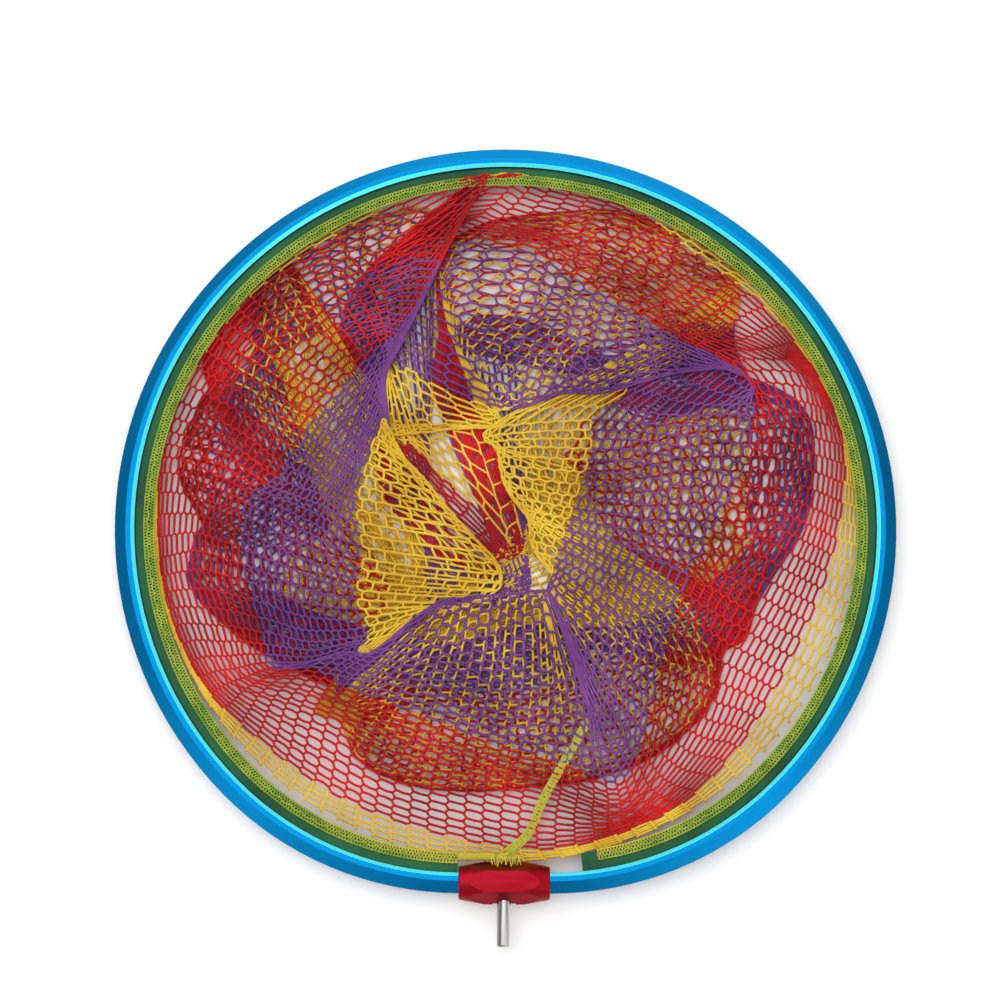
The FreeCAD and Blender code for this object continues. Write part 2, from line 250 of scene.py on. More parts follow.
# Finishes: each one starts from a Principled shader
def startMaterial(name, roughness, metallic=0.0):
    material = bpy.data.materials.new(name)
    material.use_nodes = True
    nodes, links = material.node_tree.nodes, material.node_tree.links
    shader = nodes["Principled BSDF"]
    shader.inputs["Roughness"].default_value = roughness
    shader.inputs["Metallic"].default_value = metallic
    return material, nodes, links, shader


# Noise on Object coordinates, drawn out along the axes with a small stretch value
def stretchedNoise(nodes, links, scale, stretch=(1, 1, 1), detail=3.0):
    place = nodes.new("ShaderNodeTexCoord")
    mapping = nodes.new("ShaderNodeMapping")
    mapping.inputs["Scale"].default_value = stretch
    noise = nodes.new("ShaderNodeTexNoise")
    noise.inputs["Scale"].default_value = scale
    noise.inputs["Detail"].default_value = detail
    links.new(place.outputs["Object"], mapping.inputs["Vector"])
    links.new(mapping.outputs["Vector"], noise.inputs["Vector"])
    return noise.outputs["Fac"]


# Relief in a finish, its depth in metres
def addBump(nodes, links, shader, source, strength, depth):
    bump = nodes.new("ShaderNodeBump")
    bump.inputs["Strength"].default_value = strength
    bump.inputs["Distance"].default_value = depth
    links.new(source, bump.inputs["Height"])
    links.new(bump.outputs["Normal"], shader.inputs["Normal"])


# Roughness between two values of a pattern
def roughnessRange(nodes, links, shader, source, low, high):
    span = nodes.new("ShaderNodeMapRange")
    span.inputs["To Min"].default_value = low
    span.inputs["To Max"].default_value = high
    links.new(source, span.inputs["Value"])
    links.new(span.outputs["Result"], shader.inputs["Roughness"])


metal = {
    "bump": 0.05,
    "bumpDepth": 0.0002,
}


# Metal: one grain drives its colour, its roughness and its relief
def metalFinish(name, low, high, roughness, scale, stretch=(1, 1, 1)):
    material, nodes, links, shader = startMaterial(name, roughness[0], 1.0)
    grain = stretchedNoise(nodes, links, scale, stretch)
    links.new(colourRange(nodes, links, grain, low, high), shader.inputs["Base Color"])
    roughnessRange(nodes, links, shader, grain, *roughness)
    addBump(nodes, links, shader, grain, metal["bump"], metal["bumpDepth"])
    return material


yarn = {
    "sheen": 0.04,
    "specular": 0.25,
    "bump": 0.6,
    "bumpDepth": 0.0004,
}


# Knitting yarn: patches of colour from dark to light, with fibres in the bump
def yarnFinish(name, dark, light, patch=26.0, fibre=1500.0, roughness=0.62):
    material, nodes, links, shader = startMaterial(name, roughness)
    patches = stretchedNoise(nodes, links, patch, detail=4.0)
    links.new(colourRange(nodes, links, patches, dark, light), shader.inputs["Base Color"])
    shader.inputs["Sheen Weight"].default_value = yarn["sheen"]
    shader.inputs["Specular IOR Level"].default_value = yarn["specular"]
    fibres = stretchedNoise(nodes, links, fibre, detail=2.0)
    addBump(nodes, links, shader, fibres, yarn["bump"], yarn["bumpDepth"])
    return material


# Painted light on the hoop: colours set by how each face tilts and by the turn round the hoop
hoopPaintedLight = {
    "centre": (0, 0.22012, 0),
    # how far a face tilts outwards (0 inwards, 0.5 level, 1 outwards), colour; these colours are
    # painted light: painted shade on the inner wall and in the groove, a painted highlight on the
    # inner lip, painted reflections on the top and the outer slope
    "leanPaintedLight": [(0.0, (0.0, 0.03, 0.09)), (0.1, (0.0, 0.06, 0.16)), (0.2, (0.1, 0.9, 0.98)),
              (0.36, (0.1, 0.9, 0.98)), (0.46, (0.002, 0.16, 0.38)), (0.56, (0.002, 0.16, 0.38)),
              (0.68, (0.003, 0.23, 0.54)), (1.0, (0.002, 0.15, 0.38))],
    # share of a turn from the left by the handle, strength of the painted reflections on the outer
    # slope
    "turns": [(0.0, 0.42), (0.06, 0.55), (0.13, 1.15), (0.2, 0.7), (0.25, 0.4), (0.31, 0.7),
              (0.38, 1.15), (0.45, 0.6), (0.52, 0.42), (0.58, 0.8), (0.66, 1.25), (0.78, 1.25),
              (0.86, 0.7), (1.0, 0.42)],
    # tilts between which that strength of painted reflections sets in
    "outer": (0.55, 0.7),
    "roughness": (0.17, 0.27),
    "grain": 700.0,
    "bump": 0.02,
    "bumpDepth": 0.0001,
}
# Sockets of a Mix node that carry colours: first, second and result
mixFirst, mixSecond, mixResult = 6, 7, 2


# Blue anodising with painted light: a painted highlight on the inner lip, painted shade in the
# groove, and painted reflections, deeper on the outer slope and changing round the hoop
def paintedLightHoopFinish():
    material, nodes, links, shader = startMaterial("blueAnodisedPaintedLight", hoopPaintedLight["roughness"][0], 1.0)
    place = nodes.new("ShaderNodeTexCoord")
    apart = vectorStep(nodes, links, "SUBTRACT", place.outputs["Object"], hoopPaintedLight["centre"])
    flat = vectorStep(nodes, links, "MULTIPLY", apart, (1, 1, 0))
    outward = vectorStep(nodes, links, "NORMALIZE", flat)
    geometry = nodes.new("ShaderNodeNewGeometry")
    lean = nodes.new("ShaderNodeVectorMath")
    lean.operation = "DOT_PRODUCT"
    links.new(outward, lean.inputs[0])
    links.new(geometry.outputs["True Normal"], lean.inputs[1])
    span = nodes.new("ShaderNodeMapRange")
    span.inputs["From Min"].default_value = -1.0
    links.new(lean.outputs["Value"], span.inputs["Value"])
    # painted shade, painted highlight and painted reflections, by how the face tilts
    leanPaintedLight = nodes.new("ShaderNodeValToRGB")
    fillRamp(leanPaintedLight.color_ramp, hoopPaintedLight["leanPaintedLight"])
    links.new(span.outputs["Result"], leanPaintedLight.inputs["Fac"])
    around = nodes.new("ShaderNodeTexGradient")
    around.gradient_type = "RADIAL"
    links.new(apart, around.inputs["Vector"])
    # painted reflections that change round the hoop
    turns = nodes.new("ShaderNodeValToRGB")
    fillRamp(turns.color_ramp, [(at, (depth / 2,) * 3) for at, depth in hoopPaintedLight["turns"]])
    links.new(around.outputs["Fac"], turns.inputs["Fac"])
    outer = nodes.new("ShaderNodeMapRange")
    outer.inputs["From Min"].default_value = hoopPaintedLight["outer"][0]
    outer.inputs["From Max"].default_value = hoopPaintedLight["outer"][1]
    links.new(span.outputs["Result"], outer.inputs["Value"])
    # strength of the painted reflections on the outer slope
    depth = nodes.new("ShaderNodeMix")
    depth.data_type = "RGBA"
    depth.inputs[mixFirst].default_value = (0.5, 0.5, 0.5, 1)
    links.new(outer.outputs["Result"], depth.inputs[0])
    links.new(turns.outputs["Color"], depth.inputs[mixSecond])
    # the painted reflection strengths were halved to fit the ramp, which holds values up to 1
    doubled = vectorStep(nodes, links, "MULTIPLY", depth.outputs[mixResult], (2, 2, 2))
    # blue colour with the painted light mixed in
    paintedLightColour = nodes.new("ShaderNodeVectorMath")
    paintedLightColour.operation = "MULTIPLY"
    links.new(leanPaintedLight.outputs["Color"], paintedLightColour.inputs[0])
    links.new(doubled, paintedLightColour.inputs[1])
    links.new(paintedLightColour.outputs[0], shader.inputs["Base Color"])
    grain = stretchedNoise(nodes, links, hoopPaintedLight["grain"])
    roughnessRange(nodes, links, shader, grain, *hoopPaintedLight["roughness"])
    addBump(nodes, links, shader, grain, hoopPaintedLight["bump"], hoopPaintedLight["bumpDepth"])
    return material


finish = {
    # hoop colour with painted shade, highlight and reflections in it
    "blue_anodised": paintedLightHoopFinish(),
    "red_anodised": metalFinish("redAnodised", (0.22, 0.004, 0.009), (0.3, 0.008, 0.018),
                                (0.3, 0.42), 140.0, (0.15, 1, 1)),
    # brushed grain along the stud; its near-black and pale streaks are partly painted reflections
    "stainless": metalFinish("stainlessGrainAndPaintedReflections", (0.05, 0.047, 0.045), (0.86, 0.84, 0.82),
                             (0.2, 0.32), 360.0, (1, 0.02, 0.3)),
    "screw_steel": metalFinish("screwSteel", (0.12, 0.12, 0.12), (0.2, 0.2, 0.2),
                               (0.4, 0.55), 500.0),
    "green_strip": yarnFinish("greenStrip", (0.003, 0.06, 0.02), (0.01, 0.13, 0.04),
                              18.0, 260.0, 0.5),
    "lime_braid": yarnFinish("limeBraid", (0.2, 0.34, 0.03), (0.44, 0.54, 0.06), 90.0),
    "lime_thread": yarnFinish("limeThread", (0.36, 0.46, 0.07), (0.52, 0.62, 0.13), 120.0),
    "yellow_yarn": yarnFinish("yellowYarn", (0.7, 0.4, 0.022), (0.92, 0.66, 0.06)),
    "red_yarn": yarnFinish("redYarn", (0.34, 0.002, 0.006), (0.74, 0.009, 0.013)),
    "purple_yarn": yarnFinish("purpleYarn", (0.13, 0.03, 0.19), (0.26, 0.075, 0.31)),
}

# Second colour of a finish, a real tint on the braid and a painted shadow on the strip: distances
# from the hoop's middle at which it starts and is full
secondColourAndPaintedShadow = {
    # painted shadow: a dark line where the strip's bead goes into the groove
    "green_strip": ((0.2122, 0.2134), (0.0, 0.012, 0.012)),
    # yellower binding, tail and seam tape
    "lime_braid": ((0.203, 0.199), (0.62, 0.56, 0.05)),
}


# Mixes a second colour into a finish by the distance from the hoop's middle: the braid's real tint,
# and the strip's painted groove shadow
def tintAndShadeByDistance(material, ends, colour):
    nodes, links = material.node_tree.nodes, material.node_tree.links
    socket = nodes["Principled BSDF"].inputs["Base Color"]
    before = socket.links[0].from_socket
    share = nodes.new("ShaderNodeMapRange")
    share.inputs["From Min"].default_value = ends[0]
    share.inputs["From Max"].default_value = ends[1]
    links.new(roundFrom(nodes, links, hoopPaintedLight["centre"]), share.inputs["Value"])
    # mixes in the second colour: the braid's tint, the strip's painted shadow
    mix = nodes.new("ShaderNodeMix")
    mix.data_type = "RGBA"
    mix.inputs[mixSecond].default_value = (*colour, 1)
    links.new(share.outputs["Result"], mix.inputs[0])
    links.new(before, mix.inputs[mixFirst])
    links.new(mix.outputs[mixResult], socket)


for slotName, (ends, colour) in secondColourAndPaintedShadow.items():
    tintAndShadeByDistance(finish[slotName], ends, colour)

# Pieces that the solids already show well
cadFinish = {
    "hoop_rim": "blue_anodised",
    "connector_barrel": "red_anodised",
    "handle_stud": "stainless",
    "stud_lock_screw": "screw_steel",
    "rim_clamp_screws": "screw_steel",
    "keeper_strip": "green_strip",
}
for nodeName, slotName in cadFinish.items():
    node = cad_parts[nodeName]
    node.data.materials.clear()
    node.data.materials.append(finish[slotName])
print("finishes made")


# The hoop's line: straight behind the connector, a shoulder at each side, then the main circle
rim = {
    "radius": 225.0,
    "centreY": 220.12,
    "tailHalf": 25.5,
    "shoulderDrop": 25.975,
    "stripInner": 21.9,
}
shoulderRadius = rim["radius"] - math.hypot(rim["shoulderDrop"], rim["tailHalf"])
shoulderAngle = math.atan2(rim["tailHalf"], rim["shoulderDrop"])


# Points and inward directions at even steps round the hoop, from the right shoulder to the left
def alongRim(inset, startX, stopX, step):
    small, large = shoulderRadius - inset, rim["radius"] - inset
    half, shoulderY = rim["tailHalf"], rim["centreY"] - rim["shoulderDrop"]
    right = math.asin((startX - half) / small)
    left = math.asin((-half - stopX) / small)
    runs = [small * (shoulderAngle - right), large * 2 * (math.pi - shoulderAngle),
            small * (shoulderAngle - left)]
    total = sum(runs)
    count = int(round(total / step))
    places, inward = [], []
    for k in range(count + 1):
        s = total * k / count
        if s <= runs[0]:
            angle = right + s / small
            middle, radius = Vector((half, shoulderY)), small
        elif s <= runs[0] + runs[1]:
            angle = shoulderAngle + (s - runs[0]) / large
            middle, radius = Vector((0, rim["centreY"])), large
        else:
            angle = 2 * math.pi - shoulderAngle + (s - runs[0] - runs[1]) / small
            middle, radius = Vector((-half, shoulderY)), small
        out = Vector((math.sin(angle), -math.cos(angle)))
        places.append(middle + out * radius)
        inward.append(-out)
    return np.array(places), np.array(inward)


# A piece of round strands through lists of points in millimetres, as one mesh
def tubes(name, slotName, nodeNames, strands, radius, sides=1, closed=False):
    curve = bpy.data.curves.new(name, "CURVE")
    curve.dimensions = "3D"
    curve.bevel_depth = radius * mm
    curve.bevel_resolution = sides
    curve.use_fill_caps = True
    curve.resolution_u = 1
    for strand in strands:
        points, widths = strand if isinstance(strand, tuple) else (strand, None)
        spline = curve.splines.new("POLY")
        spline.points.add(len(points) - 1)
        flat = np.ones((len(points), 4), np.float32)
        flat[:, :3] = np.asarray(points) * mm
        spline.points.foreach_set("co", flat.ravel())
        if widths is not None:
            spline.points.foreach_set("radius", np.asarray(widths, np.float32))
        spline.use_cyclic_u = closed
        spline.use_smooth = True
    holder = bpy.data.objects.new(name + "Curve", curve)
    scene.collection.objects.link(holder)
    graph = bpy.context.evaluated_depsgraph_get()
    mesh = bpy.data.meshes.new_from_object(holder.evaluated_get(graph))
    mesh.name = name
    joined = bmesh.new()
    joined.from_mesh(mesh)
    bmesh.ops.remove_doubles(joined, verts=joined.verts, dist=weldGap)
    bmesh.ops.recalc_face_normals(joined, faces=joined.faces)
    joined.to_mesh(mesh)
    joined.free()
    bpy.data.objects.remove(holder)
    bpy.data.curves.remove(curve)
    mesh.materials.clear()
    mesh.materials.append(finish[slotName])
    piece = bpy.data.objects.new(name, mesh)
    scene.collection.objects.link(piece)
    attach(piece, "root")
    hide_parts(*nodeNames)
    return piece


# Points moved inwards by depth and up to height, all in millimetres
def lifted(places, inward, depth, height):
    flat = places + inward * depth[:, None]
    return np.column_stack([flat, height])


# Repeatable unevenness: a size, and the turn of its wave from one number to the next
def sway(number, size, turn, start=0.0):
    return size * math.sin(number * turn + start)


# For each strand of a braid: its way across at every step, and its height there
def braid(sizes, half, lift, height, steps):
    k = np.arange(steps)
    for n in range(sizes["crossing"]):
        phase = 2 * math.pi * (k / sizes["stepsPerWave"] + n / sizes["crossing"])
        yield half * np.sin(phase), height + lift * np.cos(2 * phase + n * math.pi)


# Edge tape: an openwork braid with two edge cords
tape = {
    "outer": 16.5,
    "inner": 22.9,
    "startX": 52.0,
    "stopX": -26.1,
    "low": 0.6,
    "high": 2.1,
    "strand": 0.36,
    "wave": 7.2,
    "stepsPerWave": 8,
    "crossing": 4,
    # how the two edge cords sway and rise: size in mm, turn for each step
    "edgeSway": (0.12, 2.1),
    "edgeLift": (0.1, 1.7),
}
stitching = {
    "step": 1.3,
    "beyond": 1.0,
    "sink": 0.5,
    "rise": 0.25,
    "stepsPerStitch": 3,
    "sway": 0.5,
    "stepsPerSway": 6,
    "thread": 0.3,
}


def makeEdgeTape():
    middle = (tape["outer"] + tape["inner"]) / 2
    half = (tape["inner"] - tape["outer"]) / 2 - tape["strand"]
    step = tape["wave"] / tape["stepsPerWave"]
    places, inward = alongRim(middle, tape["startX"], tape["stopX"], step)
    k = np.arange(len(places))
    centre = (tape["low"] + tape["high"]) / 2
    lift = (tape["high"] - tape["low"]) / 2 - tape["strand"]
    strands = [lifted(places, inward, across, height)
               for across, height in braid(tape, half, lift, centre, len(places))]
    for side in (-1, 1):
        edge = side * half + tape["edgeSway"][0] * np.sin(k * tape["edgeSway"][1])
        rise = centre + tape["edgeLift"][0] * np.cos(k * tape["edgeLift"][1])
        strands.append(lifted(places, inward, edge, rise))
    tubes("edgeTape", "lime_braid", ["edge_tape"], strands, tape["strand"])


def makeTapeStitching():
    depth = (tape["outer"] + rim["stripInner"]) / 2
    places, inward = alongRim(depth, tape["startX"], tape["stopX"] - stitching["beyond"],
                              stitching["step"])
    k = np.arange(len(places))
    height = np.where(k % stitching["stepsPerStitch"] == 0, tape["high"] - stitching["sink"],
                      tape["high"] + stitching["rise"])
    across = stitching["sway"] * np.sin(k * 2 * math.pi / stitching["stepsPerSway"])
    tubes("tapeStitching", "lime_thread", ["tape_stitching"],
          [lifted(places, inward, across, height)], stitching["thread"])


makeEdgeTape()
makeTapeStitching()
print("edge tape made")


# Where the strip stops, the tape is wrapped over the bag's edge and knotted
joint = {
    "bindingFrom": -26.1,
    "bindingTo": -5.0,
    "lowY": 23.5,
    "highY": 28.4,
    "low": -0.6,
    "bindingHigh": 2.8,
    "tailHigh": 4.1,
    "wraps": 17,
    "stepsPerWrap": 10,
    "strand": 0.55,
    # strands that run inside the wraps
    "coreRuns": 7,
    "coreSteps": 24,
    "coreShare": 0.8,
    "coreSway": (0.15, 9),
    # free length at each end
    "wrapGap": 0.6,
    "coreGap": 0.4,
}
tail = {
    "knotX": -0.5,
    "knotSteps": 72,
    "knotSize": (1.5, 1.1, 0.75),  # along the binding, across it and up
    "knotScale": 0.62,
    "knotStrand": 0.62,
    "knotWidth": 1.3,
    "frays": 16,
    "fraySteps": 7,
    "fraysFrom": -7.5,
    "fraysSpan": 17.0,
    # frays up the connector's back facet, which rises steeply
    "facetSlope": 1.73,
    "facetDrop": 3.1,
    "startY": 24.2,
    "reach": 3.4,
    "lift": 0.4,
    "widths": (0.75, 0.4),  # at the root, and how much of it the tip loses
    # frays that lie loose along the binding
    "looseLength": 3.2,
    "looseLift": 0.5,
    "looseWidths": (0.6, 0.3),
    # unevenness from fray to fray: size, turn
    "rootSway": (0.5, 2.3),
    "tipSway": (1.8, 1.9, 0.6),
    "reachSway": (1.0, 2.7),
    "sideSway": (0.4, 1.0),
    "looseSway": (1.2, 1.3),
    "looseDrift": (2.2, 3.1),
    "looseRise": (0.8, 2.1),
}


# A strand wound round a few straight ones
def makeBinding():
    turns = joint["wraps"]
    t = np.linspace(0, 1, turns * joint["stepsPerWrap"] + 1)
    angle = 2 * math.pi * turns * t
    midY = (joint["lowY"] + joint["highY"]) / 2
    midZ = (joint["low"] + joint["bindingHigh"]) / 2
    halfY = (joint["highY"] - joint["lowY"]) / 2 - joint["strand"]
    halfZ = (joint["bindingHigh"] - joint["low"]) / 2 - joint["strand"]
    length = joint["bindingTo"] - joint["bindingFrom"]
    x = joint["bindingFrom"] + joint["wrapGap"] + (length - 2 * joint["wrapGap"]) * t
    strands = [np.column_stack([x, midY + halfY * np.cos(angle), midZ + halfZ * np.sin(angle)])]
    s = np.linspace(0, 1, joint["coreSteps"])
    x = joint["bindingFrom"] + joint["coreGap"] + (length - 2 * joint["coreGap"]) * s
    swaySize, swayTurn = joint["coreSway"]
    for n in range(joint["coreRuns"]):
        share = 2 * math.pi * n / joint["coreRuns"]
        y = (midY + halfY * joint["coreShare"] * math.cos(share)
             + swaySize * np.sin(swayTurn * s + n))
        z = np.full(len(s), midZ + halfZ * joint["coreShare"] * math.sin(share))
        strands.append(np.column_stack([x, y, z]))
    tubes("tapeBinding", "lime_braid", ["tape_binding"], strands, joint["strand"])


# An overhand knot with loose ends that fray towards the connector
def makeTail():
    t = np.linspace(0, 2 * math.pi, tail["knotSteps"] + 1)
    midX, midY = tail["knotX"], (joint["lowY"] + joint["highY"]) / 2
    midZ = (joint["low"] + joint["tailHigh"]) / 2
    along, across, up = tail["knotSize"]
    knot = np.column_stack([
        midX + along * (np.sin(t) + 2 * np.sin(2 * t)) * tail["knotScale"],
        midY + tail["knotScale"] * (np.cos(t) - 2 * np.cos(2 * t)) * across,
        midZ - up * np.sin(3 * t)])
    strands = [(knot, np.ones(len(knot)) * tail["knotWidth"])]
    s = np.linspace(0, 1, tail["fraySteps"])
    for n in range(tail["frays"]):
        fromX = (tail["fraysFrom"] + tail["fraysSpan"] * n / tail["frays"]
                 + sway(n, *tail["rootSway"]))
        toX = fromX + sway(n, *tail["tipSway"])
        reach = tail["reach"] + sway(n, *tail["reachSway"])
        upFacet = np.column_stack([
            fromX + (toX - fromX) * s,
            midY + sway(n, *tail["sideSway"]) - (reach + midY - tail["startY"]) * s,
            midZ + tail["lift"] + (tail["facetSlope"] * reach - tail["facetDrop"]) * s])
        loose = np.column_stack([
            fromX + tail["looseLength"] * s,
            midY + sway(n, *tail["looseSway"]) + sway(n, *tail["looseDrift"]) * s,
            midZ + tail["looseLift"] + sway(n, *tail["looseRise"]) * s])
        strands.append((upFacet, tail["widths"][0] - tail["widths"][1] * s))
        strands.append((loose, tail["looseWidths"][0] - tail["looseWidths"][1] * s))
    tubes("tapeTail", "lime_braid", ["tape_tail"], strands, tail["knotStrand"], sides=2)


makeBinding()
makeTail()


# Seam tape down the bag's side, with its two rows of sewing
seam = {
    "route": [(1.5, 28.4, -0.9), (12.0, 37.5, -3.2), (22.0, 59.0, -4.0),
              (36.0, 84.0, -4.3), (53.0, 113.0, -4.6)],
    "width": 5.2,
    "strand": 0.42,
    "wave": 4.2,
    "stepsPerWave": 8,
    "crossing": 4,
    "lift": 0.35,
    # shares of half the width at which cords and rows of sewing run
    "longCords": (-1, -0.33, 0.33, 1),
    "sewing": (-0.62, 0.62),
    "stepsPerStitch": 3,
    "threadLow": 0.1,
    "threadHigh": 0.75,
    "thread": 0.3,
}


# Even points along a smooth line through a few given ones
def smoothRoute(points, step):
    corners = np.array(points, float)
    gaps = np.linalg.norm(np.diff(corners, axis=0), axis=1)
    at = np.concatenate([[0], np.cumsum(gaps)])
    fine = np.linspace(0, at[-1], int(at[-1] / step) + 2)
    return hermite(at, corners, fine)


# Smooth interpolation through values at rising places, with gentle slopes
def hermite(at, values, wanted):
    slopes = np.gradient(values, at, axis=0)
    k = np.clip(np.searchsorted(at, wanted, side="right") - 1, 0, len(at) - 2)
    gap = at[k + 1] - at[k]
    t = (wanted - at[k]) / gap
    shape = (-1,) + (1,) * (values.ndim - 1)
    t, gap = t.reshape(shape), gap.reshape(shape)
    return ((2 * t ** 3 - 3 * t ** 2 + 1) * values[k] + (t ** 3 - 2 * t ** 2 + t) * gap * slopes[k]
            + (3 * t ** 2 - 2 * t ** 3) * values[k + 1] + (t ** 3 - t ** 2) * gap * slopes[k + 1])


def makeSeamTape():
    line = smoothRoute(seam["route"], seam["wave"] / seam["stepsPerWave"])
    ahead = np.gradient(line[:, :2], axis=0)
    ahead /= np.linalg.norm(ahead, axis=1)[:, None]
    side = np.column_stack([-ahead[:, 1], ahead[:, 0]])
    half = seam["width"] / 2 - seam["strand"]
    strands = [lifted(line[:, :2], side, across, height)
               for across, height in braid(seam, half, seam["lift"], line[:, 2], len(line))]
    for share in seam["longCords"]:
        strands.append(np.column_stack([line[:, :2] + side * (half * share), line[:, 2]]))
    tubes("seamTape", "lime_braid", ["seam_tape"], strands, seam["strand"])
    rows = []
    for share in seam["sewing"]:
        flat = line[::2, :2] + side[::2] * (half * share)
        height = line[::2, 2] + np.where(np.arange(len(flat)) % seam["stepsPerStitch"] == 0,
                                         seam["threadLow"], seam["threadHigh"])
        rows.append(np.column_stack([flat, height]))
    tubes("seamStitching", "lime_thread", ["seam_stitching"], rows, seam["thread"])


makeSeamTape()
print("binding, tail and seam tape made")


# Mesh bag: counts and lengths of its meshes, and the seven bands of colour from the mouth down
bag = {
    "columns": 114,
    "rowStep": 2.8,
    "rows": 214,
    "sideStep": 0.089,
    "longStrand": 8.9,
    "shortStrand": 3.4,
    "strand": 0.73,
    "bandEnds": [0, 8, 38, 68, 98, 128, 158, 214],
    "girth": 1.214,
    "yarnShare": 0.59,
    "end": (427, 612, -9.6),
    "mouth": (505.5, 518, 353, 344),  # pixels: middle and half sizes of the sewn edge
    "mouthHeight": -1.8,
    "heights": (-9.6, 4),
    "reach": 209.0,
    "bands": [
        ("netYellowRim", "yellow_yarn", "net_yellow_rim_band"),
        ("netRedUpper", "red_yarn", "net_red_upper_band"),
        ("netPurpleUpper", "purple_yarn", "net_purple_upper_band"),
        ("netYellowFold", "yellow_yarn", "net_yellow_fold_band"),
        ("netRedFold", "red_yarn", "net_red_fold_band"),
        ("netPurpleLower", "purple_yarn", "net_purple_lower_band"),
        ("netYellowBottom", "yellow_yarn", "net_yellow_bottom"),
    ],
}

